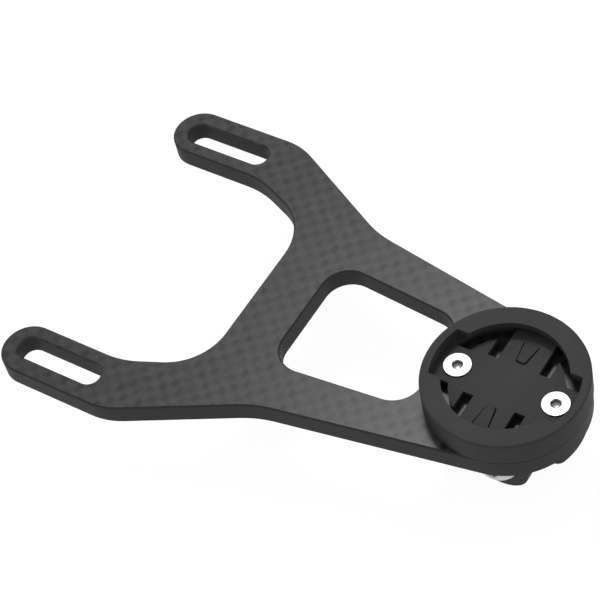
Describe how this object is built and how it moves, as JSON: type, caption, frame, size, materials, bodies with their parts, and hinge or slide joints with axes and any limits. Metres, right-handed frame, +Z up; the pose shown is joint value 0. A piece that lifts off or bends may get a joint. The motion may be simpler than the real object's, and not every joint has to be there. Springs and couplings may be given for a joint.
{
  "type": "cycling computer mount",
  "caption": "Flat carbon out-front mount with slotted arms, a quarter-turn puck for a cycling computer and a pronged camera adapter underneath.",
  "frame": {"origin": "on the axis of the quarter-turn opening, in the rim face that the computer rests on", "axes": "+Z up along the quarter-turn axis, out of the puck; +Y forwards, from the slotted arms to the puck; +X to the rider's right"},
  "size_m": [0.0804, 0.1226, 0.0287],
  "materials": {
    "carbon_fibre": "matt woven carbon laminate, machined edges",
    "black_nylon": "fine matt moulded nylon",
    "adapter_nylon": "fine matt moulded nylon",
    "stainless_steel": "bright stainless steel"
  },
  "bodies": {
    "mount": {"carbon_plate": "carbon_fibre", "quarter_turn_puck": "black_nylon", "puck_screws": "stainless_steel", "puck_nuts": "stainless_steel", "camera_adapter": "adapter_nylon", "camera_nut": "stainless_steel"},
    "tongue_left": {"click_tongue_left": "black_nylon"},
    "tongue_right": {"click_tongue_right": "black_nylon"},
    "bolt": {"camera_bolt": "stainless_steel"}
  },
  "joints": [
    {"name": "tongue_left_bend", "type": "hinge", "parent": "mount", "child": "tongue_left", "pos_m": [-0.011, 0, -0.004], "axis": [0, 1, 0], "range_deg": [0, 8], "stiffness_Nm_per_rad": 0.16},
    {"name": "tongue_right_bend", "type": "hinge", "parent": "mount", "child": "tongue_right", "pos_m": [0.011, 0, -0.004], "axis": [0, -1, 0], "range_deg": [0, 8], "stiffness_Nm_per_rad": 0.16},
    {"name": "camera_bolt_travel", "type": "slide", "parent": "mount", "child": "bolt", "axis": [1, 0, 0], "range_m": [0, 0.02]}
  ]
}
